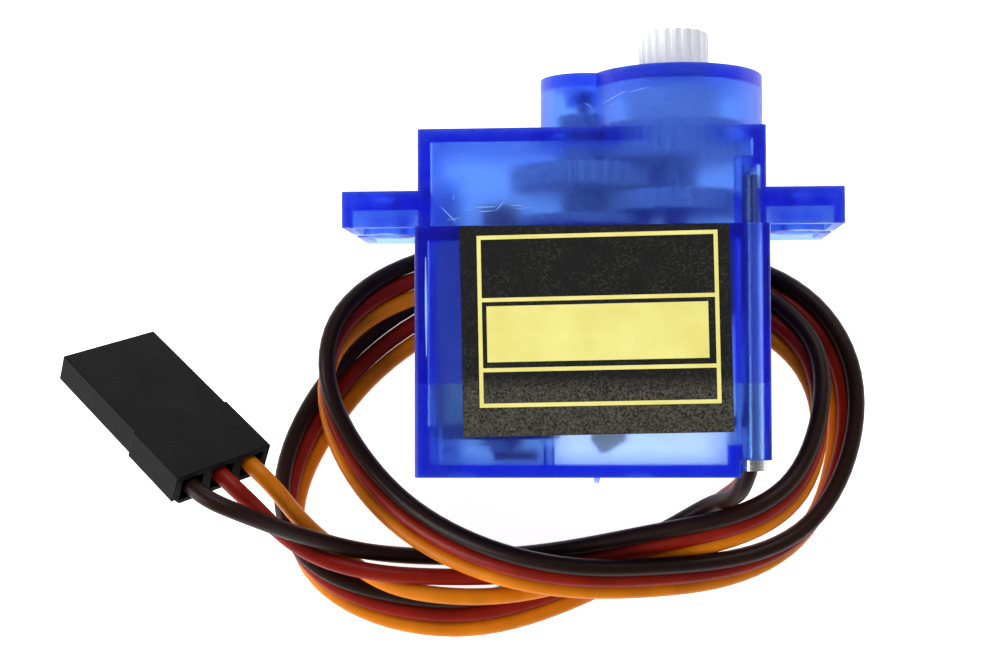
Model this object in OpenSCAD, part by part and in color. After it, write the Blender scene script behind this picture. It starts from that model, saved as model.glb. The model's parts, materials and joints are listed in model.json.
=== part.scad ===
// Micro hobby servo with a translucent three-piece case, lying on its back on
// its own looped lead. Units are millimetres.
// The pieces are drawn upright: x runs along the case, y runs from front to
// back and z runs from the base to the output shaft. lay() then turns them into
// the part's frame: +X along the case, +Y along the output shaft and +Z out of
// the front face, with the origin between the two lug holes on the lugs' tops.

/* [Case] */
// Length of the middle shell and the bottom cover
body_l = 22.8; // [22.4:0.1:23.6]
// Depth of the case from its front face to its back face
body_w = 12; // [11.8:0.1:12.4]
// Length of the top shell
top_l = 22.4; // [22:0.1:22.8]
// Wall thickness of the three shells
wall = 0.8; // [0.7:0.05:0.9]
// Height of the seam between the bottom cover and the middle shell
cover_top = 6; // [5.5:0.1:7]
// Height of the seam between the middle shell and the top shell
deck_top = 16.2; // [16:0.1:16.4]
// Height of the top shell's flat roof
case_top = 22.5; // [22.3:0.1:22.8]

/* [Turret] */
// Distance of the output axis from the middle of the case
output_x = 5.6; // [5.4:0.1:5.7]
// Outside radius of the turret around the output gear
turret_r = 5.9; // [5.8:0.05:6]
// Outside radius of the small turret around the idler axle
small_turret_r = 2.9; // [2.8:0.05:3]
// Height of the turret's roof
turret_top = 26.6; // [26.4:0.1:27]
// Height of the top of the splined output shaft
spline_top = 29.7; // [29.3:0.1:30.5]
// Outside radius of the output spline
spline_r = 2.35; // [2.3:0.05:2.4]

/* [Mounting lugs] */
// Distance between the tips of the two lugs
lug_span = 32.2; // [31.8:0.1:32.6]
// Height of the lugs' upper faces
lug_top = 18.5; // [18.3:0.1:18.8]
// Height of a lug at its rim
lug_h = 2.35; // [2.2:0.05:2.4]
// Distance between the two lug holes
hole_spacing = 27.8; // [27.6:0.1:28]
// Radius of a lug hole
hole_r = 1; // [0.95:0.05:1.05]

/* [Gears] */
// Module of every gear in the train
gear_module = 0.25; // [0.25]
// Distance between the idler axle and the output axis
gear_centres = 6.15; // [6.14:0.01:6.17]
// Distance between the motor shaft and the idler axle
pinion_centres = 5.65; // [5.64:0.01:5.67]

/* [Lead] */
// Diameter of one insulated wire
wire_d = 1.14; // [1.1:0.02:1.16]
// Distance between two neighbouring wires of the ribbon
wire_pitch = 1.24; // [1.22:0.01:1.26]
// Length of the plug housing
plug_l = 14; // [13.8:0.1:14.2]
// Distance between two neighbouring sockets of the plug
socket_pitch = 2.54; // [2.54]

/* [Hidden] */
$fn = 48;

in_l = body_l - 2 * wall;
in_w = body_w - 2 * wall;
corner_r = 0.3;
case_seam = 0.01;
deck_t = 0.9;
shell_blue = "royalblue";

idler_x = output_x - gear_centres;
motor_x = idler_x - pinion_centres;

// The two long case screws stand in opposite corners.
screw_inset = 1.12;
screw_places = [
    [body_l / 2 - screw_inset, -body_w / 2 + screw_inset],
    [-body_l / 2 + screw_inset, body_w / 2 - screw_inset],
];
post_r = 1.1;
screw_r = 0.6;
screw_head_r = 0.88;
screw_head_h = 0.7;
screw_tip = 19.9;
post_top = 20.6;

// The raised step under the cable end of the base.
step_l = 2;
step_h = 1.1;

// The label is stuck on a little askew.
label_turn = 1;

slot_x = body_l / 2 - 1;
slot_l = 1.4;
slot_w = 4.1;

motor_r = 5;
motor_half = 4.1;
motor_z = 3.4;
motor_top = deck_top - deck_t;
motor_skin = 0.35;
motor_boss_r = 1.4;
shaft_r = 0.4;

tooth_add = 0.18;
tooth_ded = 0.3;
tooth_share = 0.43;
pressure_angle = 20;

pot_r = 4.7;
pot_z = 10.4;
pot_shaft_r = 0.8;
axle_r = 0.5;

board_z = 3.1;
board_t = 0.8;
board_left = -1.8;
board_right = 10.45;

// ---------- frame and plain shapes ----------

module lay() {
    rotate([-90, 0, 0]) translate([0, 0, -lug_top]) children();
}

module rounded_rect(l, w, r) {
    union() {
        square([l - 2 * r, w], center = true);
        square([l, w - 2 * r], center = true);
        for (sx = [-1, 1], sy = [-1, 1])
            translate([sx * (l / 2 - r), sy * (w / 2 - r)]) circle(r = r, $fn = 24);
    }
}

module block(l, w, z0, z1, r = corner_r) {
    translate([0, 0, z0]) linear_extrude(z1 - z0) rounded_rect(l, w, r);
}

module box(x0, x1, y0, y1, z0, z1) {
    translate([x0, y0, z0]) cube([x1 - x0, y1 - y0, z1 - z0]);
}

module rod(x, y, z0, z1, r) {
    translate([x, y, z0]) cylinder(r = r, h = z1 - z0);
}

// ---------- case ----------

module screw_posts(z0, z1) {
    for (p = screw_places) rod(p.x, p.y, z0, z1, post_r);
}

module screw_bores(z0, z1, r) {
    for (p = screw_places) rod(p.x, p.y, z0, z1, r);
}

module lug(side) {
    rim = 0.65;
    plate_t = 1.2;
    boss_r = 1.9;
    x_in = top_l / 2 - 0.2;
    x_tip = lug_span / 2;
    hole_x = hole_spacing / 2;
    z0 = lug_top - lug_h;
    mirror([side < 0 ? 1 : 0, 0, 0]) difference() {
        union() {
            difference() {
                box(x_in, x_tip, -body_w / 2, body_w / 2, z0, lug_top);
                box(x_in - 1, x_tip - rim, -body_w / 2 + rim, body_w / 2 - rim, z0 - 1, lug_top - plate_t);
            }
            rod(hole_x, 0, z0, lug_top - plate_t / 2, boss_r);
        }
        rod(hole_x, 0, z0 - 1, lug_top + 1, hole_r);
        box(hole_x, x_tip + 1, -0.45, 0.45, z0 - 1, lug_top + 1);
        box(0, body_l / 2 + case_seam, -body_w, body_w, z0 - 1, deck_top + case_seam);
    }
}

module top_case() {
    roof_z = case_top - wall;
    cap_z = turret_top - wall;
    boss_z = cap_z - 1;
    color(shell_blue, 0.6) lay() difference() {
        union() {
            difference() {
                union() {
                    block(top_l, body_w, deck_top + case_seam, case_top);
                    rod(output_x, 0, roof_z, turret_top, turret_r);
                    rod(idler_x, 0, roof_z, turret_top, small_turret_r);
                    lug(1);
                    lug(-1);
                }
                block(top_l - 2 * wall, in_w, deck_top - 1, roof_z, 0.2);
                rod(output_x, 0, deck_top - 1, cap_z, turret_r - wall);
                rod(idler_x, 0, roof_z - 1, cap_z, small_turret_r - wall);
            }
            intersection() {
                screw_posts(deck_top + case_seam, post_top);
                block(top_l, body_w, deck_top + case_seam, case_top);
            }
            rod(idler_x, 0, boss_z, cap_z + 0.1, 1.2);
        }
        rod(output_x, 0, cap_z - 1, turret_top + 1, spline_r + 0.1);
        rod(idler_x, 0, boss_z - 1, cap_z, axle_r);
        screw_bores(deck_top - 1, screw_tip + 0.1, screw_r);
    }
}

module middle_case() {
    deck_z = deck_top - deck_t;
    color(shell_blue, 0.6) lay() difference() {
        union() {
            difference() {
                block(body_l, body_w, cover_top + case_seam, deck_top);
                block(in_l, in_w, cover_top - 1, deck_z, 0.2);
            }
            screw_posts(cover_top + case_seam, deck_top);
            rod(idler_x, 0, deck_z, deck_top + 0.2, 1.2);
            // Ledges that the bottom cover seats against.
            box(-in_l / 2 - 0.1, -in_l / 2 + 0.25, -1.5, 1.5, cover_top + case_seam, deck_z);
            box(in_l / 2 - 0.25, in_l / 2 + 0.1, -1.5, 1.5, cover_top + case_seam, deck_z);
        }
        rod(motor_x, 0, deck_z - 1, deck_top + 1, motor_boss_r + 0.1);
        rod(output_x, 0, deck_z - 1, deck_top + 1, pot_shaft_r + 0.1);
        rod(idler_x, 0, deck_z - 1, deck_top + 1, axle_r);
        screw_bores(cover_top - 1, deck_top + 1, screw_r + 0.1);
        // Shallow seat that the label is stuck in.
        label_slab(0.05, 1);
    }
}

module bottom_cover() {
    half = body_l / 2;
    step_x = half - step_l;
    step_floor_top = step_h + wall + 0.15;
    rib_low = 1.9;
    rib_high = 3.3;
    color(shell_blue, 0.6) lay() difference() {
        union() {
            difference() {
                block(body_l, body_w, 0, cover_top);
                block(in_l, in_w, wall, cover_top + 1, 0.2);
            }
            // Floor and inner wall of the raised step.
            box(step_x - wall, half - wall / 2, -in_w / 2 - 0.1, in_w / 2 + 0.1, wall / 2, step_floor_top);
            screw_posts(wall / 2, cover_top);
            // Two thin ribs across the floor, tall at the front wall, and a gusset in the motor corner.
            for (rib = [[-3.12, 0.14], [-2.62, 0.2]]) {
                box(rib.x, rib.x + rib.y, -in_w / 2 - 0.1, in_w / 2 + 0.1, wall / 2, rib_low);
                box(rib.x, rib.x + rib.y, -in_w / 2 - 0.1, -in_w / 2 + 1, wall / 2, rib_high);
            }
            box(-in_l / 2 - 0.1, -in_l / 2 + 0.7, -in_w / 2 - 0.1, -in_w / 2 + 1.5, wall / 2, rib_high);
            // Moulding pads and the gate mark under the base.
            for (p = [[-8.5, -2.5], [-4.4, 2.5], [3, -2.5], [6.9, 2.5]])
                rod(p.x, p.y, -0.12, wall / 2, 1.3);
            translate([0.25, -1, -0.6]) cylinder(r1 = 0.15, r2 = 0.3, h = 0.8, $fn = 24);
        }
        box(step_x, half + 1, -body_w, body_w, -1, step_h);
        screw_bores(-1, cover_top + 1, screw_r + 0.1);
        rod(screw_places[1].x, screw_places[1].y, -1, step_h, screw_head_r + 0.15);
        box(slot_x - slot_l / 2, slot_x + slot_l / 2, -slot_w / 2, slot_w / 2, 0, board_z + 0.1);
        label_slab(0.05, 1);
    }
}

module case_screws() {
    color("silver") lay() for (p = screw_places) {
        difference() {
            rod(p.x, p.y, step_h - screw_head_h, step_h, screw_head_r);
            for (a = [0, 90]) translate([p.x, p.y, 0]) rotate([0, 0, a])
                box(-0.5, 0.5, -0.1, 0.1, 0, step_h - screw_head_h + 0.3);
        }
        rod(p.x, p.y, step_h, screw_tip - 0.6, screw_r);
        translate([p.x, p.y, screw_tip - 0.6]) cylinder(r1 = screw_r, r2 = 0.2, h = 0.6);
    }
}

// The slab that the label fills, from a depth inside the front face outwards.
// Its top is cut level, just below the seam.
module label_slab(inside, outside) {
    below_seam = 0.03;
    intersection() {
        translate([0.28, 0, 9.4]) rotate([0, -label_turn, 0])
            box(-8.62, 8.62, -body_w / 2 - outside, -body_w / 2 + inside, -6.65, 7.5);
        box(-body_l, body_l, -body_w, 0, 0, deck_top - below_seam);
    }
}

module label() {
    color("black") lay() label_slab(0.05, 0.05);
}

// ---------- gears ----------

function involute(a) = tan(a) * 180 / PI - a;

// Half the angle that a tooth takes up at radius r.
function half_tooth(teeth, r) =
    let (base_r = gear_module * teeth / 2 * cos(pressure_angle))
    tooth_share * 180 / teeth + involute(pressure_angle) - involute(acos(base_r / max(r, base_r)));

function tooth_point(teeth, i, side, r) =
    let (a = 360 * i / teeth + side * half_tooth(teeth, r))
    [r * cos(a), r * sin(a)];

function gear_outline(teeth) =
    let (pitch_r = gear_module * teeth / 2, radii = [pitch_r - tooth_ded, pitch_r, pitch_r + tooth_add])
    [for (i = [0:teeth - 1], side = [-1, 1], k = [0:2])
        tooth_point(teeth, i, side, side < 0 ? radii[k] : radii[2 - k])];

// A toothed wheel whose tooth centre points at the angle turn.
module gear_wheel(teeth, z0, z1, turn = 0) {
    translate([0, 0, z0]) rotate([0, 0, turn]) linear_extrude(z1 - z0) polygon(gear_outline(teeth));
}

// The turn that puts a gap, not a tooth, at the angle a.
function gap_at(a, teeth) = a - 180 / teeth;

// A big wheel with a small one above it, on one bore.
module compound_gear(x, bore_r, big, big_z, big_turn, small, small_top, small_turn) {
    translate([x, 0, 0]) difference() {
        union() {
            gear_wheel(big, big_z[0], big_z[1], big_turn);
            gear_wheel(small, big_z[0], small_top, small_turn);
        }
        rod(0, 0, big_z[0] - 1, small_top + 1, bore_r);
    }
}

module first_gear() {
    color("ivory") lay() compound_gear(idler_x, axle_r + 0.05,
        36, [16.5, 17.2], gap_at(180, 36), 11, 18.8, 0);
}

module second_gear() {
    color("white") lay() compound_gear(output_x, pot_shaft_r + 0.05,
        38, [17.4, 18.7], gap_at(180, 38), 11, 20.7, 180);
}

module third_gear() {
    color("ivory") lay() compound_gear(idler_x, axle_r + 0.05,
        38, [19.1, 20.5], gap_at(0, 38), 12, 24.1, 0);
}

module spline(z0, z1) {
    teeth = 21;
    root_r = spline_r - 0.22;
    points = [for (i = [0:teeth - 1], k = [0:3])
        let (a = 360 / teeth * (i + [0, 0.3, 0.5, 0.8][k]), r = k < 2 ? root_r : spline_r)
        [r * cos(a), r * sin(a)]];
    intersection() {
        translate([0, 0, z0]) linear_extrude(z1 - z0) polygon(points);
        union() {
            cylinder(r = spline_r + 0.1, h = z1 - 0.2);
            translate([0, 0, z1 - 0.2]) cylinder(r1 = spline_r + 0.1, r2 = spline_r - 0.25, h = 0.2);
        }
    }
}

module output_gear() {
    gear_z = 21;
    hub_z = 23.3;
    hole_z = spline_top - 6;
    color("white") lay() translate([output_x, 0, 0]) difference() {
        union() {
            gear_wheel(37, gear_z, hub_z, gap_at(180, 37));
            rod(0, 0, hub_z - 0.1, turret_top - wall - 0.15, 3.2);
            rod(0, 0, turret_top - wall - 0.2, turret_top + 0.1, spline_r + 0.05);
            spline(turret_top, spline_top);
        }
        rod(0, 0, gear_z - 1, gear_z + 1.5, pot_shaft_r);
        rod(0, 0, hole_z, spline_top + 1, 0.85);
    }
}

module idler_axle() {
    color("silver") lay() rod(idler_x, 0, deck_top - deck_t + 0.1, turret_top - wall - 0.1, axle_r);
}

// ---------- motor ----------

module motor_outline(inset) {
    intersection() {
        circle(r = motor_r - inset);
        square([2 * (motor_half - inset), 2 * motor_r], center = true);
    }
}

module motor_slab(z0, z1, inset) {
    translate([motor_x, 0, z0]) linear_extrude(z1 - z0) motor_outline(inset);
}

module motor_can() {
    color("silver") lay() difference() {
        union() {
            motor_slab(motor_z, motor_top, 0);
            rod(motor_x, 0, motor_top - 0.1, deck_top - 0.1, motor_boss_r);
        }
        motor_slab(motor_z - 1, motor_top - motor_skin, motor_skin);
        rod(motor_x, 0, motor_z, deck_top + 1, 0.9);
    }
}

module motor_magnets() {
    outer = motor_r - motor_skin;
    inner = 3.5;
    color("dimgray") lay() for (side = [-1, 1]) translate([motor_x, 0, 6]) linear_extrude(7)
        intersection() {
            difference() {
                circle(r = outer);
                circle(r = inner);
            }
            polygon([
                [0, side * 1.5], [-3.2, side * 3.4], [-3.2, side * 5], [3.2, side * 5], [3.2, side * 3.4],
            ]);
        }
}

module motor_end_cap() {
    color("darkslateblue") lay() difference() {
        union() {
            motor_slab(motor_z - 1, motor_z, 0.02);
            motor_slab(motor_z - 0.1, motor_z + 0.8, motor_skin);
            rod(motor_x, 0, motor_z - 1.6, motor_z, 1.4);
        }
        rod(motor_x, 0, motor_z - 1.1, motor_z + 2, 0.9);
        for (side = [-1, 1]) box(motor_x - 0.5, motor_x + 0.5, side * 3.1 - 0.15, side * 3.1 + 0.15,
            motor_z - 2, motor_z + 2);
    }
}

module motor_bushes() {
    color("peru") lay() for (z = [motor_z - 1.1, motor_top - 0.5]) difference() {
        rod(motor_x, 0, z, z + 1.2, 0.9);
        rod(motor_x, 0, z - 1, z + 2, shaft_r + 0.03);
    }
}

module motor_brushes() {
    color("goldenrod") lay() for (side = [-1, 1]) {
        box(motor_x - 0.3, motor_x + 0.3, side * 1.15 - 0.15, side * 1.15 + 0.15, 4.3, 5.6);
        box(motor_x - 0.3, motor_x + 0.3, side * 2.1 - 1.15, side * 2.1 + 1.15, 4.2, 4.4);
    }
}

module motor_terminals() {
    color("gold") lay() for (side = [-1, 1])
        box(
            motor_x - 0.5, motor_x + 0.5, side * 3.1 - 0.15, side * 3.1 + 0.15,
            motor_z - 1.9, motor_z + 0.8
        );
}

module motor_shaft() {
    color("silver") lay() rod(motor_x, 0, motor_z - 1, 18.2, shaft_r);
}

module motor_pinion() {
    color("goldenrod") lay() translate([motor_x, 0, 0]) difference() {
        gear_wheel(9, 16.4, 18.1, 0);
        rod(0, 0, 16, 19, shaft_r);
    }
}

module armature_core() {
    color("gray") lay() translate([motor_x, 0, 6.8]) difference() {
        linear_extrude(5.2) union() {
            circle(r = 1.3);
            for (a = [30, 150, 270]) rotate([0, 0, a]) {
                translate([1, -0.4]) square([1.6, 0.8]);
                intersection() {
                    difference() {
                        circle(r = 3.1);
                        circle(r = 2.5);
                    }
                    polygon([[0, 0], [4, -3.4], [4, 3.4]]);
                }
            }
        }
        rod(0, 0, -1, 7, shaft_r);
    }
}

module armature_windings() {
    color("orangered") lay() translate([motor_x, 0, 0])
        for (a = [30, 150, 270]) rotate([0, 0, a]) difference() {
            box(1.45, 2.2, -1.05, 1.05, 6.1, 12.7);
            box(1, 3, -0.42, 0.42, 6.78, 12.02);
        }
}

module commutator() {
    color("darkgoldenrod") lay() difference() {
        rod(motor_x, 0, 4.4, 5.9, 0.95);
        rod(motor_x, 0, 4, 7, shaft_r);
    }
}

// ---------- potentiometer and electronics ----------

module pot_housing() {
    color("darkslateblue") lay() difference() {
        rod(output_x, 0, pot_z, motor_top, pot_r);
        rod(output_x, 0, pot_z + 0.7, motor_top - 1, pot_r - 0.6);
        rod(output_x, 0, pot_z + 2, motor_top + 1, pot_shaft_r + 0.05);
    }
}

module pot_track() {
    color("saddlebrown") lay() difference() {
        rod(output_x, 0, pot_z + 0.7, pot_z + 1, pot_r - 0.7);
        rod(output_x, 0, pot_z, pot_z + 2, 1.2);
    }
}

module pot_shaft() {
    color("white") lay() rod(output_x, 0, pot_z + 1.2, 22.4, pot_shaft_r);
}

module pot_wiper() {
    color("gold") lay() difference() {
        union() {
            rod(output_x, 0, pot_z + 1.9, pot_z + 2.1, 1.6);
            box(output_x - 0.4, output_x + 0.4, -3.4, 0, pot_z + 1.9, pot_z + 2.1);
            box(output_x - 0.4, output_x + 0.4, -3.4, -3, pot_z + 1.1, pot_z + 2.1);
        }
        rod(output_x, 0, pot_z + 1, pot_z + 3, pot_shaft_r);
    }
}

pot_pin_y = 3.3;
pot_pin_step = 2;

module pot_terminals() {
    color("silver") lay() for (i = [-1:1])
        box(output_x + i * pot_pin_step - 0.4, output_x + i * pot_pin_step + 0.4,
            pot_pin_y - 0.15, pot_pin_y + 0.15, pot_z - 1, pot_z);
}

module pot_leads() {
    color("slategray") lay() for (i = [-1:1])
        rod(output_x + i * pot_pin_step, pot_pin_y, board_z + board_t, pot_z - 1, 0.3);
}

module motor_leads() {
    color("sienna") lay() for (side = [-1, 1]) {
        y = side * 3.1;
        box(motor_x - 0.3, motor_x + 0.3, y - 0.3, y + 0.3, 1.05, motor_z - 1.9);
        translate([motor_x + 0.3, y, 1.3]) rotate([0, 90, 0]) cylinder(r = 0.25, h = 2);
        translate([motor_x + 2.3, y, 1.3]) sphere(r = 0.3);
    }
}

module control_board() {
    color("darkgreen") lay() difference() {
        box(board_left, board_right, -4.6, 4.6, board_z, board_z + board_t);
        rod(screw_places[0].x, screw_places[0].y, 0, 9, post_r + 0.3);
        box(screw_places[0].x, 12, -6, screw_places[0].y + post_r + 0.3, 0, 9);
    }
}

module controller_chip() {
    z0 = board_z + board_t;
    chip_y = -0.8;
    color("dimgray") lay() {
        box(2, 6.4, chip_y - 2.2, chip_y + 2.2, z0 + 0.1, z0 + 1.1);
        for (side = [-1, 1], i = [0:6]) {
            leg_x = 2.2 + i * 0.6;
            leg_y = chip_y + side * 2.45;
            box(leg_x, leg_x + 0.25, leg_y - 0.45, leg_y + 0.45, z0, z0 + 0.2);
        }
    }
}

module board_parts() {
    z0 = board_z + board_t;
    color("tan") lay() {
        for (p = [[-0.8, -3], [-0.8, -1], [-0.8, 1], [-0.8, 3], [7.6, -2], [7.6, -0.4]])
            box(p.x - 0.5, p.x + 0.5, p.y - 0.3, p.y + 0.3, z0, z0 + 0.5);
        // Solder under the board, drawn out to a point.
        hull() {
            box(-0.1, 2.2, -3.6, -2.2, board_z - 0.8, board_z);
            box(0.5, 0.9, -3.2, -2.6, 1.5, board_z);
        }
        box(0.1, 1.1, -0.8, 0.8, 2.3, board_z);
    }
}

// ---------- lead and plug ----------

// The ribbon's middle wire from the board, out of the case, round two loops
// that pass under the case, and back to the left. Each point is x, y, z and the
// ribbon's roll: 0 puts the brown wire on top and 90 lays the ribbon flat.
ribbon = [
    [10.4, -15.4, 0, 0], [10.4, -16.6, 0, 0], [10.4, -18.1, -0.2, -1], [10.2, -19.4, -1.6, -4],
    [9.3, -20.2, -4.6, -14], [7.4, -22, -6.2, -31], [4.8, -23.9, -6.95, -43], [1, -25.8, -7.3, -52],
    [-3, -27.6, -7.45, -62], [-9, -29.5, -7.65, -66], [-16, -28.6, -7.55, -64], [-21, -26, -7.2, -25],
    [-22.6, -21.5, -7, 15], [-21.2, -16.5, -7.3, 50], [-17.5, -11, -7.8, 72], [-12, -7, -8.1, 85],
    [-4.5, -4.3, -8.2, 90], [3.5, -4, -8.2, 90], [10.5, -4.7, -8.1, 85], [15.5, -7.2, -7.6, 60],
    [18.2, -12, -7.4, 40], [17.8, -17.8, -7, 18], [15.5, -23.1, -6.9, -14], [10.5, -25.6, -5.9, -38],
    [4.5, -26, -4, -46], [-1.5, -26.1, -2.9, -45], [-7.5, -25, -3.4, -52], [-13.5, -22.4, -6, -57],
    [-17.6, -18, -6.6, -50], [-19.4, -12.5, -4.4, -17], [-18.3, -8.2, -4.6, 30],
    [-14.5, -5.2, -6.5, 76], [-8.5, -3.6, -6.95, 90], [-1, -3, -7, 90], [6.5, -4.5, -7.05, 90],
    [12, -7.2, -6.95, 77], [15.5, -10.2, -6.1, 42], [16.2, -14.8, -5.3, -12], [14.5, -20, -4.3, -34],
    [10.3, -22.4, -2.9, -42], [4.6, -23.6, -4.3, -50], [-0.5, -25, -5.2, -66],
];
// Where the ribbon is split, each wire goes its own way to the plug.
brown_tail = [
    [-6, -24.8, -6.6], [-11.2, -25, -7.8], [-16.1, -24.6, -6.2], [-19.4, -23.4, -3.6],
    [-21.2, -22.5, -1.2], [-22.7, -21.6, 1], [-24.2, -20.8, 2.4],
];
red_tail = [
    [-5.3, -26.1, -5.7], [-10.3, -26.2, -5.7], [-14.6, -26, -5.1], [-18.4, -25.3, -5],
    [-20.9, -23.9, -3.7], [-22.3, -22.2, -1.9], [-23.4, -20.5, 0],
];
orange_tail = [
    [-5.3, -27.5, -5.6], [-10.3, -27.6, -5.3], [-14.9, -27, -6.1], [-18, -24.9, -6.5],
    [-20.2, -22.8, -4.9], [-21.3, -21.1, -3.2], [-21.9, -19.9, -2],
];

plug_w = 7.62;
plug_t = 2.54;
plug_at = [-30.2, -14.5, -2.4];
plug_turn = [36, -47, -158];
// How far a wire goes into the plug, and where its contact lies.
wire_in = 3;

function unit(v) = v / norm(v);
function turn_x(p, a) = [p.x, p.y * cos(a) - p.z * sin(a), p.y * sin(a) + p.z * cos(a)];
function turn_y(p, a) = [p.x * cos(a) + p.z * sin(a), p.y, -p.x * sin(a) + p.z * cos(a)];
function turn_z(p, a) = [p.x * cos(a) - p.y * sin(a), p.x * sin(a) + p.y * cos(a), p.z];
// A point of the plug's own frame, in the part's frame.
function plug_point(p) = plug_at + turn_z(turn_y(turn_x(p, plug_turn.x), plug_turn.y), plug_turn.z);

function xyz(p) = [p.x, p.y, p.z];
// Direction from the ribbon's middle wire to its brown wire at point i.
function brown_side(i) =
    let (last = len(ribbon) - 1,
         along = unit(xyz(ribbon[min(i + 1, last)]) - xyz(ribbon[max(i - 1, 0)])),
         left = unit(cross([0, 0, 1], along)))
    cos(ribbon[i][3]) * cross(along, left) + sin(ribbon[i][3]) * left;

// Route of one wire: place is 1 for brown, 0 for red and -1 for orange.
function wire_route(place, tail) = concat(
    [for (i = [0:len(ribbon) - 1]) xyz(ribbon[i]) + place * wire_pitch * brown_side(i)],
    tail,
    [for (y = [1.2, -1.4, -wire_in]) plug_point([place * socket_pitch, plug_l / 2 + y, 0])]);

// Uniform cubic B-spline through the start and the end of a route.
function spline_point(a, b, c, d, t) =
    (pow(1 - t, 3) * a + (3 * pow(t, 3) - 6 * t * t + 4) * b
        + (-3 * pow(t, 3) + 3 * t * t + 3 * t + 1) * c + pow(t, 3) * d) / 6;
function extended(p) = concat([2 * p[0] - p[1]], p, [2 * p[len(p) - 1] - p[len(p) - 2]]);
function smooth(route, steps) =
    let (p = extended(route), last = len(p) - 4)
    concat([
        for (i = [0:last], k = [0:steps - 1])
            spline_point(p[i], p[i + 1], p[i + 2], p[i + 3], k / steps)
    ], [route[len(route) - 1]]);

function tangent(p, i) = unit(p[min(i + 1, len(p) - 1)] - p[max(i - 1, 0)]);
// Carries a side direction along the path without twisting it.
function sides(p, i = 0, found = []) =
    i == len(p) ? found :
    let (t = tangent(p, i), s = i == 0 ? [1, 0, 0] : found[i - 1])
    sides(p, i + 1, concat(found, [unit(s - (s * t) * t)]));

module tube(path, d, facets) {
    n = len(path);
    side = sides(path);
    points = [for (i = [0:n - 1], k = [0:facets - 1])
        let (a = 360 * k / facets, up = cross(tangent(path, i), side[i]))
        path[i] + d / 2 * (cos(a) * side[i] + sin(a) * up)];
    skin = [for (i = [0:n - 2], k = [0:facets - 1])
        let (m = (k + 1) % facets)
        [i * facets + k, (i + 1) * facets + k, (i + 1) * facets + m, i * facets + m]];
    first_end = [for (k = [0:facets - 1]) k];
    last_end = [for (k = [facets - 1:-1:0]) (n - 1) * facets + k];
    polyhedron(points = points, faces = concat(skin, [first_end, last_end]), convexity = 10);
}

module wire(place, tail) {
    tube(smooth(wire_route(place, tail), 2), wire_d, 8);
}

module lead_brown() {
    color("saddlebrown") wire(1, brown_tail);
}

module lead_red() {
    color("firebrick") wire(0, red_tail);
}

module lead_orange() {
    color("orange") wire(-1, orange_tail);
}

module in_plug() {
    translate(plug_at) rotate(plug_turn) children();
}

module plug_housing() {
    collar = 0.3;
    collar_l = 5.2;
    cavity = 1.7;
    back = plug_l / 2;
    color("black") in_plug() difference() {
        union() {
            cube([plug_w, plug_l, plug_t], center = true);
            translate([0, back - collar_l / 2, 0]) cube([plug_w + collar, collar_l, plug_t], center = true);
        }
        for (i = [-1:1]) translate([i * socket_pitch, 0, 0]) {
            cube([0.9, plug_l + 1, 0.9], center = true);
            translate([0, back - 5, 0]) cube([cavity, 12, cavity], center = true);
            translate([0, -1.6, -plug_t / 2]) cube([1.1, 2.4, 1.2], center = true);
        }
        // Bevel along one long edge, which keys the plug.
        translate([plug_w / 2, 0, -plug_t / 2]) rotate([0, 45, 0])
            cube([0.7, plug_l + 1, 0.7], center = true);
    }
}

module plug_contacts() {
    color("gold") in_plug() for (i = [-1:1]) translate([i * socket_pitch, 0, 0]) difference() {
        union() {
            translate([-0.7, -3.9, -0.7]) cube([1.4, 4.4, 1.4]);
            translate([-0.75, 0.5, -0.75]) cube([1.5, 3.5 - 0.02, 0.25]);
            translate([-0.3, -5.5, -0.3]) cube([0.6, 1.7, 0.6]);
        }
        translate([-0.3, -6, -0.3]) cube([0.6, 6, 0.6]);
    }
}

top_case();
middle_case();
bottom_cover();
case_screws();
label();
idler_axle();
motor_can();
motor_magnets();
motor_end_cap();
motor_bushes();
motor_brushes();
motor_terminals();
motor_shaft();
motor_pinion();
armature_core();
armature_windings();
commutator();
first_gear();
second_gear();
third_gear();
output_gear();
pot_shaft();
pot_wiper();
pot_housing();
pot_track();
pot_terminals();
pot_leads();
motor_leads();
control_board();
controller_chip();
board_parts();
lead_brown();
lead_red();
lead_orange();
plug_housing();
plug_contacts();
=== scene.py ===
"""Looks of a micro hobby servo with a translucent blue case, lying on its back on its own looped lead.

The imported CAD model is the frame: +X along the case, +Y along the output shaft, +Z out of the front face, with
the origin between the two lug holes on the lugs' tops. Lengths named in millimetres are turned into metres by MM.
"""

import json
import math

import bpy  # noqa: E402
from mathutils import Matrix, Vector  # noqa: E402

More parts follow.
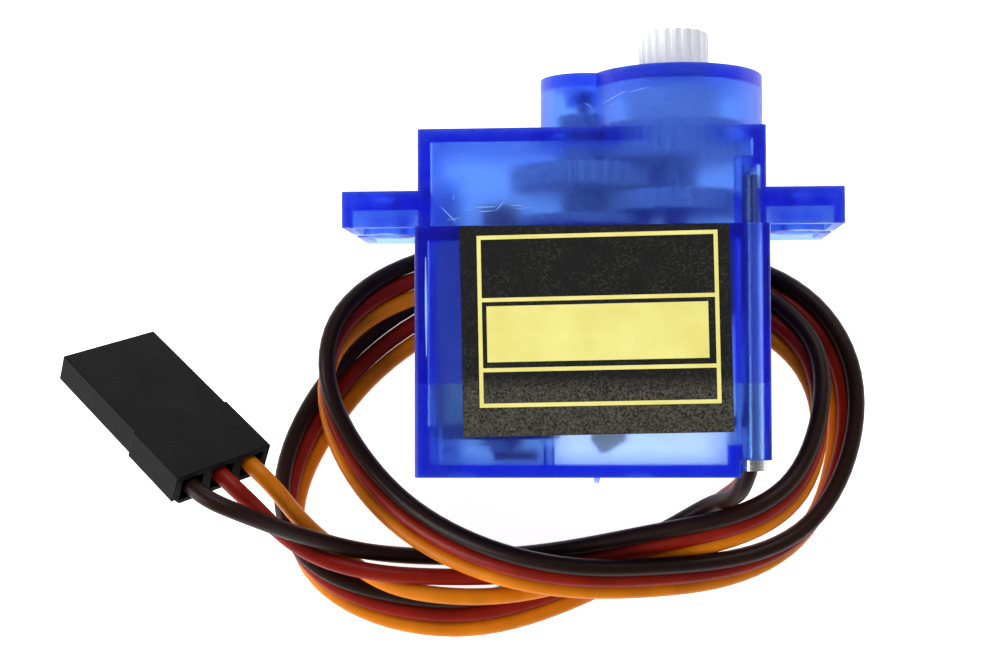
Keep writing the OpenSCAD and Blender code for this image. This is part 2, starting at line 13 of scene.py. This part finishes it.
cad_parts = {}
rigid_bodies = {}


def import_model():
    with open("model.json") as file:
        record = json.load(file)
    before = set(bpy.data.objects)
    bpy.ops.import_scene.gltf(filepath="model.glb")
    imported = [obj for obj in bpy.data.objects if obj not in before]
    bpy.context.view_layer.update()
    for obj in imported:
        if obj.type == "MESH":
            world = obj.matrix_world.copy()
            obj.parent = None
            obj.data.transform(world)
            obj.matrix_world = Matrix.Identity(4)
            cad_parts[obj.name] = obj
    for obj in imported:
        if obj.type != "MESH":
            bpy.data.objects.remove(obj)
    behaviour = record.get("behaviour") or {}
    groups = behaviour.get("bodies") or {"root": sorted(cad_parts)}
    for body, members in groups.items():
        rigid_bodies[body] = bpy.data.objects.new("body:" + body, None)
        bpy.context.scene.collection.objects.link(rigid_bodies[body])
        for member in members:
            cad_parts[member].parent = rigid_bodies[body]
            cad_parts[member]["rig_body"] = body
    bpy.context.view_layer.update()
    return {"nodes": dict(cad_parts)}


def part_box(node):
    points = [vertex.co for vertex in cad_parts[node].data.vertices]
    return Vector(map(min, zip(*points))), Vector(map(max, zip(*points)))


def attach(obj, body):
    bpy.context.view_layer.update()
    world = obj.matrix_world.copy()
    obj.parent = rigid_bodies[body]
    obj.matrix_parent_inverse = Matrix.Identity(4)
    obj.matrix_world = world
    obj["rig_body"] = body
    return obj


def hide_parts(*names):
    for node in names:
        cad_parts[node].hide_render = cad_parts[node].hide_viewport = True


MM = 0.001
LUG_TOP = 18.5  # the part's y = 0 is this far over the base of the case, mm
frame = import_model()
nodes = frame["nodes"]


# ---------- camera ----------

def make_camera(place, aim, roll, lens):
    """A camera at place that looks at aim, both in millimetres, turned by roll degrees about its own axis."""
    data = bpy.data.cameras.new("camera")
    data.sensor_width = 36
    data.lens = lens
    data.clip_start, data.clip_end = 0.005, 5
    camera = bpy.data.objects.new("camera", data)
    bpy.context.scene.collection.objects.link(camera)
    back = (Vector(place) - Vector(aim)).normalized()
    right = Vector((0, 1, 0)).cross(back).normalized()
    up = back.cross(right)
    turn = Matrix((right, up, back)).transposed() @ Matrix.Rotation(math.radians(roll), 3, "Z")
    camera.matrix_world = Matrix.Translation(Vector(place) * MM) @ turn.to_4x4()
    bpy.context.scene.camera = camera


make_camera(place=(1.109, -12.963, 109.006), aim=(-6.166, -9.147, 0), roll=-0.2, lens=57.8)


# ---------- lead ----------

# The ribbon's middle wire from the board, out of the case, round two loops that pass under the case, and back to
# the left. Each point is x, y, z in millimetres and the ribbon's roll in degrees.
RIBBON = [
    (10.4, -15.4, 0, 0), (10.4, -16.6, 0, 0), (10.4, -18.1, -0.2, -1), (10.2, -19.4, -1.6, -4),
    (9.3, -20.2, -4.6, -14), (7.4, -22, -6.2, -31), (4.8, -23.9, -6.95, -43), (1, -25.8, -7.3, -52),
    (-3, -27.6, -7.45, -62), (-9, -29.5, -7.65, -66), (-16, -28.6, -7.55, -64), (-21, -26, -7.2, -25),
    (-22.6, -21.5, -7, 15), (-21.2, -16.5, -7.3, 50), (-17.5, -11, -7.8, 72), (-12, -7, -8.1, 85),
    (-4.5, -4.3, -8.2, 90), (3.5, -4, -8.2, 90), (10.5, -4.7, -8.1, 85), (15.5, -7.2, -7.6, 60),
    (18.2, -12, -7.4, 40), (17.8, -17.8, -7, 18), (15.5, -23.1, -6.9, -14), (10.5, -25.6, -5.9, -38),
    (4.5, -26, -4, -46), (-1.5, -26.1, -2.9, -45), (-7.5, -25, -3.4, -52), (-13.5, -22.4, -6, -57),
    (-17.6, -18, -6.6, -50), (-19.4, -12.5, -4.4, -17), (-18.3, -8.2, -4.6, 30), (-14.5, -5.2, -6.5, 76),
    (-8.5, -3.6, -6.95, 90), (-1, -3, -7, 90), (6.5, -4.5, -7.05, 90), (12, -7.2, -6.95, 77),
    (15.5, -10.2, -6.1, 42), (16.2, -14.8, -5.3, -12), (14.5, -20, -4.3, -34), (10.3, -22.4, -2.9, -42),
    (4.6, -23.6, -4.3, -50), (-0.5, -25, -5.2, -66),
]
# Where the ribbon is split, each wire goes its own way to the plug.
TAILS = {
    "brown": [
        (-6, -24.8, -6.6), (-11.2, -25, -7.8), (-16.1, -24.6, -6.2), (-19.4, -23.4, -3.6),
        (-21.2, -22.5, -1.2), (-22.7, -21.6, 1), (-24.2, -20.8, 2.4),
    ],
    "red": [
        (-5.3, -26.1, -5.7), (-10.3, -26.2, -5.7), (-14.6, -26, -5.1), (-18.4, -25.3, -5),
        (-20.9, -23.9, -3.7), (-22.3, -22.2, -1.9), (-23.4, -20.5, 0),
    ],
    "orange": [
        (-5.3, -27.5, -5.6), (-10.3, -27.6, -5.3), (-14.9, -27, -6.1), (-18, -24.9, -6.5),
        (-20.2, -22.8, -4.9), (-21.3, -21.1, -3.2), (-21.9, -19.9, -2),
    ],
}
WIRE_D = 1.2
WIRE_PITCH = 1.24
PATH_STEPS = 6  # points for each control point of a wire's route
SOCKET_PITCH = 2.54
PLUG_L = 14
PLUG_AT = Vector((-30.2, -14.5, -2.4))
PLUG_TURN = [math.radians(a) for a in (36, -47, -158)]
WIRE_IN = 3  # how far a wire reaches into the plug, mm


def plug_point(x, y, z):
    """A point of the plug's own frame, in the part's frame, in millimetres."""
    rx, ry, rz = (Matrix.Rotation(a, 3, axis) for a, axis in zip(PLUG_TURN, "XYZ"))
    return PLUG_AT + rz @ ry @ rx @ Vector((x, y, z))


def brown_side(i):
    """Direction from the ribbon's middle wire to its brown wire at point i."""
    after, before = (Vector(RIBBON[k][:3]) for k in (min(i + 1, len(RIBBON) - 1), max(i - 1, 0)))
    along = (after - before).normalized()
    left = Vector((0, 0, 1)).cross(along).normalized()
    roll = math.radians(RIBBON[i][3])
    return math.cos(roll) * along.cross(left) + math.sin(roll) * left


def wire_route(place, tail):
    """Control points of one wire: place is 1 for brown, 0 for red and -1 for orange."""
    points = [Vector(p[:3]) + place * WIRE_PITCH * brown_side(i) for i, p in enumerate(RIBBON)]
    points += [Vector(p) for p in tail]
    return points + [plug_point(place * SOCKET_PITCH, PLUG_L / 2 + y, 0) for y in (1.2, -1.4, -WIRE_IN)]


def smooth(route, steps):
    """A uniform cubic B-spline through the start and the end of a route."""
    p = [2 * route[0] - route[1], *route, 2 * route[-1] - route[-2]]
    found = []
    for i in range(len(p) - 3):
        for k in range(steps):
            t = k / steps
            found.append((
                (1 - t) ** 3 * p[i] + (3 * t**3 - 6 * t * t + 4) * p[i + 1]
                + (-3 * t**3 + 3 * t * t + 3 * t + 1) * p[i + 2] + t**3 * p[i + 3]
            ) / 6)
    return [*found, route[-1]]


def make_wire(colour, place):
    """One wire of the lead as a round curve that ends in the plug."""
    path = smooth(wire_route(place, TAILS[colour]), PATH_STEPS)
    data = bpy.data.curves.new(f"wire_{colour}", "CURVE")
    data.dimensions = "3D"
    data.bevel_depth = 1  # times each point's radius, which Blender also adds to the curve's box
    data.bevel_resolution = 4
    data.use_fill_caps = True
    spline = data.splines.new("POLY")
    spline.points.add(len(path) - 1)
    for point, place_mm in zip(spline.points, path):
        point.co = (*(place_mm * MM), 1)
        point.radius = WIRE_D / 2 * MM
    spline.use_smooth = True
    wire = bpy.data.objects.new(f"wire_{colour}", data)
    bpy.context.scene.collection.objects.link(wire)
    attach(wire, "root")
    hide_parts(f"lead_{colour}")
    return wire


WIRES = {colour: make_wire(colour, place) for colour, place in (("brown", 1), ("red", 0), ("orange", -1))}


# ---------- materials ----------

class Nodes:
    """A material's node tree, with short calls that make a node and join it."""

    def __init__(self, name):
        self.material = bpy.data.materials.new(name)
        self.material.use_nodes = True
        self.tree = self.material.node_tree
        self.tree.nodes.clear()
        self.output = self.tree.nodes.new("ShaderNodeOutputMaterial")
        self.place = self.tree.nodes.new("ShaderNodeTexCoord").outputs["Object"]

    def add(self, kind, **inputs):
        node = self.tree.nodes.new("ShaderNode" + kind)
        for name, value in inputs.items():
            self.put(node.inputs[name.replace("_", " ")], value)
        return node

    def put(self, socket, value):
        if isinstance(value, bpy.types.NodeSocket):
            self.tree.links.new(value, socket)
        elif isinstance(value, tuple) and len(value) == 3 and socket.type == "RGBA":
            socket.default_value = (*value, 1)
        else:
            socket.default_value = value

    def noise(self, size_mm, detail=3, stretch=None):
        """Noise whose lumps are about size_mm across, in the frame's own coordinates."""
        place = self.place
        if stretch:
            mapping = self.add("Mapping", Vector=place)
            mapping.inputs["Scale"].default_value = stretch
            place = mapping.outputs[0]
        return self.add("TexNoise", Vector=place, Scale=1 / (size_mm * MM), Detail=detail).outputs["Fac"]

    def between(self, fac, low, high, start=0.3, end=0.7):
        """A number that goes from low to high as fac goes from start to end."""
        ramp = self.add("MapRange", Value=fac)
        for i, value in enumerate((start, end, low, high), 1):
            ramp.inputs[i].default_value = value
        return ramp.outputs[0]

    def blend(self, fac, a, b):
        """Colour a where fac is 0, and b where it is 1."""
        mix = self.tree.nodes.new("ShaderNodeMix")
        mix.data_type = "RGBA"
        self.put(mix.inputs["Factor"], fac)
        self.put(mix.inputs[6], a)
        self.put(mix.inputs[7], b)
        return mix.outputs[2]

    def times(self, a, b):
        product = self.add("Math")
        product.operation = "MULTIPLY"
        self.put(product.inputs[0], a)
        self.put(product.inputs[1], b)
        return product.outputs[0]

    def bump(self, height, strength, depth_mm):
        return self.add("Bump", Height=height, Strength=strength, Distance=depth_mm * MM).outputs[0]

    def finish(self, shader, volume=None):
        self.tree.links.new(shader, self.output.inputs["Surface"])
        if volume is not None:
            self.tree.links.new(volume, self.output.inputs["Volume"])
        return self.material


def plastic(name, colour, shade, rough=(0.35, 0.5), grain_mm=0.12, bump=0.25, gloss=0.5):
    """Moulded plastic: slight mottling of colour and gloss, and a fine grain."""
    n = Nodes(name)
    broad, fine = n.noise(2.5), n.noise(grain_mm, 2)
    tint = n.blend(n.between(broad, 0, 1), colour, shade)
    shader = n.add(
        "BsdfPrincipled", Base_Color=tint, Roughness=n.between(fine, *rough),
        Normal=n.bump(fine, bump, 0.02), Specular_IOR_Level=gloss,
    )
    return n.finish(shader.outputs[0])


def metal(name, colour, shade, rough=(0.2, 0.4), stretch=(1, 1, 1), grain_mm=0.15, bump=0.15):
    """Bare metal with drawn or turned marks along the stretched direction."""
    n = Nodes(name)
    broad, marks = n.noise(1.6), n.noise(grain_mm, 4, stretch)
    shader = n.add(
        "BsdfPrincipled", Base_Color=n.blend(n.between(broad, 0, 1), colour, shade),
        Roughness=n.between(marks, *rough), Metallic=1.0, Normal=n.bump(marks, bump, 0.02),
    )
    return n.finish(shader.outputs[0])


# The case plastic: tints of its mottled skin and of its patch of painted light, the share of light that it
# scatters, and the colours of its painted glow and of the painted light's glow.
SKIN, SKIN_SHADE, PAINTED_LIGHT_SKIN = (0.8, 1.0, 1.0), (0.58, 0.92, 1.0), (1.0, 1.0, 1.0)
SCATTERED, SCATTER_BLUE = 0.12, (0.01, 0.03, 0.95)
PAINTED_GLOW, PAINTED_LIGHT_GLOW = (0.0, 0.02, 1.0), (1.1, 1.9, 3.0)
PAINTED_LIGHT_EDGES = (0.3 * MM, 0.2 * MM)  # half widths of the painted light's soft left edge and right edge


def clear_blue(name, passes, density, glow=0.04, painted_light_box=None):
    """Translucent case plastic: its body gets deeper in colour with thickness, and its skin blurs what is behind.

    It absorbs density per metre of what passes says it doesn't let through, and has a faint painted glow, an
    emission that stands in for light caught in the plastic. The last argument is the left, right and bottom, in
    mm, of a part of
    the front and back with painted light: there the plastic is drawn clear, without haze and with a brighter glow.
    """
    n = Nodes(name)
    grain, waves = n.noise(0.22, 4), n.noise(0.9, 3)
    relief = n.bump(waves, 0.3, 0.06)
    tint, haze, painted_glow_colour = n.blend(n.between(grain, 0, 1), SKIN, SKIN_SHADE), SCATTERED, PAINTED_GLOW
    # Painted light: inside the box the cover is drawn clear, without haze and with a brighter glow, as if lit from
    # behind.
    if painted_light_box:
        left, right, bottom = (side * MM for side in painted_light_box)
        wide, narrow = PAINTED_LIGHT_EDGES
        place = n.add("SeparateXYZ", Vector=n.place)
        from_left = n.between(place.outputs["X"], 0, 1, left - wide, left + wide)
        to_right = n.between(place.outputs["X"], 1, 0, right - narrow, right + narrow)
        above = n.between(place.outputs["Y"], 0, 1, bottom, bottom + narrow)
        pale = n.times(n.times(from_left, to_right), above)
        tint, haze = n.blend(pale, tint, PAINTED_LIGHT_SKIN), n.between(pale, SCATTERED, 0.0, 0, 1)
        painted_glow_colour = n.blend(pale, PAINTED_GLOW, PAINTED_LIGHT_GLOW)
    # The emission is a painted glow that stands in for light caught in the plastic.
    glass = n.add(
        "BsdfPrincipled", Base_Color=tint, Roughness=n.between(waves, 0.28, 0.4), IOR=1.38,
        Specular_IOR_Level=0.2, Transmission_Weight=1.0, Emission_Color=painted_glow_colour, Emission_Strength=glow,
        Normal=relief,
    )
    cloud = n.add("BsdfTranslucent", Color=SCATTER_BLUE, Normal=relief)
    mixed = n.add("MixShader", Fac=haze)
    n.put(mixed.inputs[1], glass.outputs[0])
    n.put(mixed.inputs[2], cloud.outputs[0])
    volume = n.add("VolumeAbsorption", Color=passes, Density=density)
    return n.finish(mixed.outputs[0], volume.outputs[0])


def label_film(name, specked_below):
    """Printed black film with fine pale specks, more of them below the height specked_below, in millimetres."""
    n = Nodes(name)
    height = n.add("SeparateXYZ", Vector=n.place).outputs["Y"]
    # Below this height the film is paler and more specked.
    lower_band = n.between(height, 1, 0, (specked_below - 0.5) * MM, (specked_below + 0.5) * MM)
    speck, patch = n.noise(0.13, 4), n.noise(2.2, 3)
    amount = n.times(n.between(speck, 0, 1, 0.5, 0.75), n.between(patch, 0.1, 1, 0.35, 0.6))
    colour = n.blend(
        lower_band, n.blend(amount, (0.011, 0.011, 0.011), (0.05, 0.05, 0.045)),
        n.blend(n.between(speck, 0, 1, 0.35, 0.7), (0.014, 0.013, 0.0115), (0.11, 0.1, 0.08)),
    )
    shader = n.add(
        "BsdfPrincipled", Base_Color=colour, Roughness=n.between(speck, 0.35, 0.55), Specular_IOR_Level=0.15,
        Normal=n.bump(speck, 0.3, 0.01),
    )
    return n.finish(shader.outputs[0])


MATERIALS = {
    # The glow strengths (0.04, and 0.08 for the middle case) are painted glow.
    "shell": clear_blue("case_plastic", (0.0, 0.27, 0.89), 640.0),
    "middle": clear_blue("middle_plastic", (0.0, 0.1, 0.9), 900.0, 0.08),
    # The box is the cover's patch of painted light.
    "cover": clear_blue("cover_plastic_with_painted_light", (0.0, 0.3, 0.92), 520.0, painted_light_box=(-2.5, 8.6, 0.75 - LUG_TOP)),
    "label": label_film("label_film", 6 - LUG_TOP),
    "nylon": plastic("white_nylon", (0.92, 0.92, 0.92), (0.86, 0.86, 0.86), (0.4, 0.55)),
    "cream": plastic("cream_nylon", (0.86, 0.85, 0.8), (0.82, 0.81, 0.75), (0.4, 0.55)),
    "black": plastic("plug_black", (0.005, 0.005, 0.005), (0.008, 0.008, 0.008), (0.45, 0.65), 0.15, 0.5, 0.05),
    "steel": metal("steel", (0.62, 0.62, 0.62), (0.5, 0.5, 0.51)),
    "can": metal("motor_steel", (0.17, 0.17, 0.17), (0.12, 0.12, 0.12), (0.25, 0.45), (1, 0.05, 1)),
    "brass": metal("brass", (0.8, 0.58, 0.26), (0.65, 0.45, 0.2)),
    "copper": metal("copper", (0.78, 0.36, 0.2), (0.6, 0.25, 0.13), (0.2, 0.4), (0.15, 1, 1)),
    "gold": metal("gold_plate", (0.85, 0.65, 0.3), (0.75, 0.55, 0.24)),
    "tin": metal("tinned", (0.7, 0.7, 0.7), (0.6, 0.6, 0.61)),
    "iron": metal("laminations", (0.35, 0.35, 0.36), (0.25, 0.25, 0.26), (0.35, 0.55), (1, 8, 1)),
    "ferrite": plastic("ferrite", (0.045, 0.045, 0.05), (0.07, 0.07, 0.075), (0.5, 0.7)),
    "pot": plastic("pot_body", (0.01, 0.012, 0.03), (0.016, 0.02, 0.045), (0.35, 0.5)),
    "track": plastic("carbon_track", (0.05, 0.03, 0.02), (0.1, 0.06, 0.04), (0.4, 0.6)),
    "board": plastic("board", (0.01, 0.09, 0.03), (0.015, 0.13, 0.045), (0.25, 0.4)),
    "chip": plastic("chip", (0.02, 0.02, 0.02), (0.035, 0.035, 0.035), (0.5, 0.65)),
    "tan": plastic("chip_parts", (0.45, 0.3, 0.16), (0.35, 0.22, 0.12), (0.35, 0.5)),
    "enamel": plastic("brown_wire", (0.25, 0.09, 0.04), (0.2, 0.07, 0.03), (0.35, 0.5)),
    "brown": plastic("pvc_brown", (0.013, 0.005, 0.004), (0.02, 0.007, 0.005), (0.32, 0.45), 0.2, 0.12, 0.13),
    "red": plastic("pvc_red", (0.27, 0.01, 0.003), (0.19, 0.007, 0.002), (0.32, 0.45), 0.2, 0.12, 0.15),
    "orange": plastic("pvc_orange", (0.74, 0.21, 0.003), (0.58, 0.155, 0.002), (0.32, 0.45), 0.2, 0.12, 0.15),
    # This scuff colour also draws the painted highlight on the left of the middle case.
    "scuff_and_highlight": plastic("scuffed_and_highlight_blue", (0.3, 0.55, 1.0), (0.2, 0.42, 0.95), (0.4, 0.6), 0.05, 0.3, 0.4),
    "gilt": plastic("gilt_ink", (0.93, 0.86, 0.29), (0.82, 0.74, 0.2), (0.4, 0.55), 0.3, 0.2, 0.3),
}
NODE_MATERIALS = {
    "shell": ["top_case"],
    "middle": ["middle_case"],
    "cover": ["bottom_cover"],
    "label": ["label"],
    "nylon": ["second_gear", "output_gear", "pot_shaft"],
    "cream": ["first_gear", "third_gear"],
    "steel": ["case_screws", "idler_axle", "motor_shaft"],
    "can": ["motor_can"],
    "ferrite": ["motor_magnets"],
    "brass": ["motor_bushes", "motor_pinion", "motor_brushes"],
    "tin": ["motor_terminals", "pot_terminals", "pot_leads"],
    "iron": ["armature_core"],
    "copper": ["armature_windings", "commutator"],
    "gold": ["pot_wiper", "plug_contacts"],
    "pot": ["pot_housing", "motor_end_cap"],
    "track": ["pot_track"],
    "enamel": ["motor_leads"],
    "board": ["control_board"],
    "chip": ["controller_chip"],
    "tan": ["board_parts"],
    "black": ["plug_housing"],
}


def dress(piece, material):
    piece.data.materials.clear()
    piece.data.materials.append(material)


def make_cleaner():
    """A node group that joins a CAD node's faces into one skin and marks its sharp edges."""
    group = bpy.data.node_groups.new("clean_skin", "GeometryNodeTree")
    for in_out in ("INPUT", "OUTPUT"):
        group.interface.new_socket("Geometry", in_out=in_out, socket_type="NodeSocketGeometry")

    def add(kind, **inputs):
        node = group.nodes.new(kind)
        for name, value in inputs.items():
            node.inputs[name].default_value = value
        return node

    start, end = add("NodeGroupInput"), add("NodeGroupOutput")
    merge = add("GeometryNodeMergeByDistance", Distance=1e-6)
    forget = add("GeometryNodeRemoveAttribute", Name="custom_normal")
    round_off = add("GeometryNodeSetShadeSmooth")
    mark = add("GeometryNodeStoreNamedAttribute", Name="sharp_edge")
    mark.data_type, mark.domain = "BOOLEAN", "EDGE"
    fold = add("GeometryNodeInputMeshEdgeAngle")
    is_sharp = add("FunctionNodeCompare")
    is_sharp.inputs["B"].default_value = SHARP_ANGLE
    chain = [start, merge, forget, round_off, mark, end]
    for one, after in zip(chain, chain[1:]):
        group.links.new(one.outputs[0], after.inputs[0])
    group.links.new(fold.outputs["Unsigned Angle"], is_sharp.inputs["A"])
    group.links.new(is_sharp.outputs[0], mark.inputs["Value"])
    return group


SHARP_ANGLE = math.radians(32)
CLEANER = make_cleaner()


def soften(piece, width_mm, segments=2):
    """Rounds a CAD node's sharp edges a little, as moulded and machined edges are."""
    piece.modifiers.new("clean", "NODES").node_group = CLEANER
    flatten = piece.modifiers.new("flatten", "DECIMATE")
    flatten.decimate_type = "DISSOLVE"
    flatten.angle_limit = math.radians(1)
    bevel = piece.modifiers.new("bevel", "BEVEL")
    bevel.width = width_mm * MM
    bevel.segments = segments
    bevel.limit_method = "ANGLE"
    bevel.angle_limit = SHARP_ANGLE
    bevel.harden_normals = True


for key, names in NODE_MATERIALS.items():
    for name in names:
        dress(nodes[name], MATERIALS[key])
for colour, wire in WIRES.items():
    dress(wire, MATERIALS[colour])
soften(nodes["plug_housing"], 0.18)


# ---------- label print ----------

def make_mesh(name, points, faces, material, body="root"):
    data = bpy.data.meshes.new(name)
    data.from_pydata(points, [], faces)
    data.update()
    piece = bpy.data.objects.new(name, data)
    bpy.context.scene.collection.objects.link(piece)
    dress(piece, material)
    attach(piece, body)
    return piece


# Left, right, bottom and top of the printed frame and panel, and the heights of the two rules, in millimetres.
LABEL_FRAME = (-7.25, 8.15, 4.6 - LUG_TOP, 15.65 - LUG_TOP)
LABEL_PANEL = (-6.7, 7.45, 7.5 - LUG_TOP, 11.1 - LUG_TOP)
LABEL_RULES = (11.5 - LUG_TOP, 7.0 - LUG_TOP)
LINE_W = 0.26
PRINT_T = 0.015
PRINT_TURN = math.radians(0.95)


def printed_slabs(rects):
    """Thin flat slabs on the label's front face, one for each left, right, bottom and top."""
    low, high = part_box("label")
    centre = (low + high) / 2
    points, faces = [], []
    for x0, x1, y0, y1 in rects:
        start = len(points)
        for z in (high.z, high.z + PRINT_T * MM):
            for x, y in ((x0, y0), (x1, y0), (x1, y1), (x0, y1)):
                out = Matrix.Rotation(PRINT_TURN, 2) @ (Vector((x, y)) * MM - centre.xy) + centre.xy
                points.append((out.x, out.y, z))
        faces += [[start + k for k in face] for face in (
            (0, 3, 2, 1), (4, 5, 6, 7), (0, 1, 5, 4), (1, 2, 6, 5), (2, 3, 7, 6), (3, 0, 4, 7))]
    return points, faces


def frame_rects(left, right, bottom, top, w):
    return [
        (left, left + w, bottom, top), (right - w, right, bottom, top),
        (left + w, right - w, bottom, bottom + w), (left + w, right - w, top - w, top),
    ]


left, right, bottom, top = LABEL_FRAME
rules = [(left + LINE_W, right - LINE_W, y - LINE_W / 2, y + LINE_W / 2) for y in LABEL_RULES]
printed = [*frame_rects(*LABEL_FRAME, LINE_W), *rules, LABEL_PANEL]
make_mesh("label_print", *printed_slabs(printed), MATERIALS["gilt"])


# ---------- scuffs and a painted highlight ---

# Fine marks on the front of the case: the x and y of each end, and the width, in millimetres.
# The last one is a painted highlight: a pale strip for the bright streak of light down the left of the middle
# case.
FRONT_SCUFFS_AND_HIGHLIGHT = [
    (-7.4, -1.12, -6.1, -1.1, 0.07), (-7.3, -1.42, -6.15, -1.35, 0.05), (-6.1, -1.35, -5.5, -0.65, 0.06),
    (-9.6, -1.1, -8.7, -2.05, 0.05), (-9.3, -1.95, -8.3, -1.75, 0.04), (-8.2, -1.3, -7.6, -1.2, 0.04),
    (-5.2, -1.0, -4.3, -1.06, 0.05), (-4.9, -1.25, -3.8, -1.15, 0.04), (-8.9, -0.6, -8.75, -0.35, 0.05),
    # Painted highlight, not a scuff.
    (-10.65, -4.3, -10.6, -10.7, 0.15),
]
TURRET_SCUFFS = [
    (0.7, 5.85, 2.3, 6.5, 0.06), (0.8, 5.5, 1.9, 5.95, 0.05), (2.6, 6.35, 3.6, 6.55, 0.04),
    (-0.4, 6.1, 0.1, 5.75, 0.05),
]
STROKE_T = 0.012
TURRETS = ((5.6, 5.9), (-0.55, 2.9))  # x of the axis and radius, mm


def turret_depth(x):
    """How far the front of the turrets' wall lies in front of their axes at x."""
    return max(math.sqrt(r * r - (x - middle) ** 2) for middle, r in TURRETS if abs(x - middle) < r)


def stroke_strips(strokes, depth, steps=6):
    """Thin slivers on a face whose z at x is depth(x), tapered to both ends."""
    points, faces = [], []
    for x0, y0, x1, y1, width in strokes:
        across = Vector((y0 - y1, x1 - x0)).normalized() * width / 2
        start = len(points)
        for i in range(steps + 1):
            t = i / steps
            x, y = x0 + (x1 - x0) * t, y0 + (y1 - y0) * t
            w = math.sin(math.pi * (0.1 + 0.8 * t))
            points += [
                (x + w * side * across.x, y + w * side * across.y, depth(x) + lift)
                for side, lift in ((-1, 0), (0, STROKE_T), (1, 0))
            ]
        faces += [
            (start + 3 * i + k, start + 3 * i + 3 + k, start + 3 * i + 4 + k, start + 3 * i + 1 + k)
            for i in range(steps) for k in (0, 1)
        ]
    return [tuple(c * MM for c in p) for p in points], faces


BODY_FRONT = 6
strips = stroke_strips(FRONT_SCUFFS_AND_HIGHLIGHT, lambda x: BODY_FRONT)
more, more_faces = stroke_strips(TURRET_SCUFFS, turret_depth)
# Real scuffs, and the one painted highlight on the left of the middle case.
make_mesh(
    "strokes", strips[0] + more, strips[1] + [tuple(k + len(strips[0]) for k in f) for f in more_faces],
    MATERIALS["scuff_and_highlight"])


# ---------- floor and light ----------

def make_floor(size, height):
    n = Nodes("floor")
    shader = n.add(
        "BsdfPrincipled", Base_Color=n.blend(n.noise(60), (0.86, 0.86, 0.86), (0.88, 0.88, 0.88)),
        Roughness=0.6, Emission_Color=(1, 1, 1), Emission_Strength=0.9,
    )
    n.finish(shader.outputs[0])
    floor = make_mesh(
        "floor", [(-size, -size, height), (size, -size, height), (size, size, height), (-size, size, height)],
        [(0, 1, 2, 3)], n.material)
    floor.parent = None
    del floor["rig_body"]


def soft_light(name, place, aim, size, power):
    data = bpy.data.lights.new(name, "AREA")
    data.shape = "RECTANGLE"
    data.size, data.size_y = size
    data.energy = power
    light = bpy.data.objects.new(name, data)
    bpy.context.scene.collection.objects.link(light)
    light.location = place
    light.rotation_euler = (Vector(aim) - Vector(place)).to_track_quat("-Z", "Y").to_euler()


def make_world(side, top):
    """A white room whose walls are as bright as side says and whose ceiling is as bright as top says."""
    world = bpy.data.worlds.new("studio")
    world.use_nodes = True
    tree = world.node_tree
    background = tree.nodes["Background"]
    split = tree.nodes.new("ShaderNodeSeparateXYZ")
    ramp = tree.nodes.new("ShaderNodeMapRange")
    for i, value in enumerate((WALL_TOP, CEILING_START, side, top), 1):
        ramp.inputs[i].default_value = value
    tree.links.new(tree.nodes.new("ShaderNodeTexCoord").outputs["Generated"], split.inputs[0])
    tree.links.new(split.outputs["Z"], ramp.inputs[0])
    tree.links.new(ramp.outputs[0], background.inputs["Strength"])
    background.inputs["Color"].default_value = (1, 1, 1, 1)
    return world


FLOOR_Z = -8.85  # just under the lowest wire, mm
FLOOR_HALF = 2.5  # half the floor's side, m
WALL_TOP, CEILING_START = 0.15, 0.9  # heights in the view direction between which the walls turn into the ceiling
make_floor(FLOOR_HALF, FLOOR_Z * MM)
# Places, aims and sizes in metres, and power in watts.
soft_light("key", (-0.3, -0.12, 0.16), (-0.01, -0.01, 0), (0.2, 0.3), 1.3)
soft_light("fill", (0.1, 0.25, 0.25), (0, -0.01, 0), (0.25, 0.2), 0.65)

scene = bpy.context.scene
scene.world = make_world(side=0.7, top=0.2)
scene.view_settings.view_transform = "Standard"
scene.cycles.transparent_max_bounces = 48
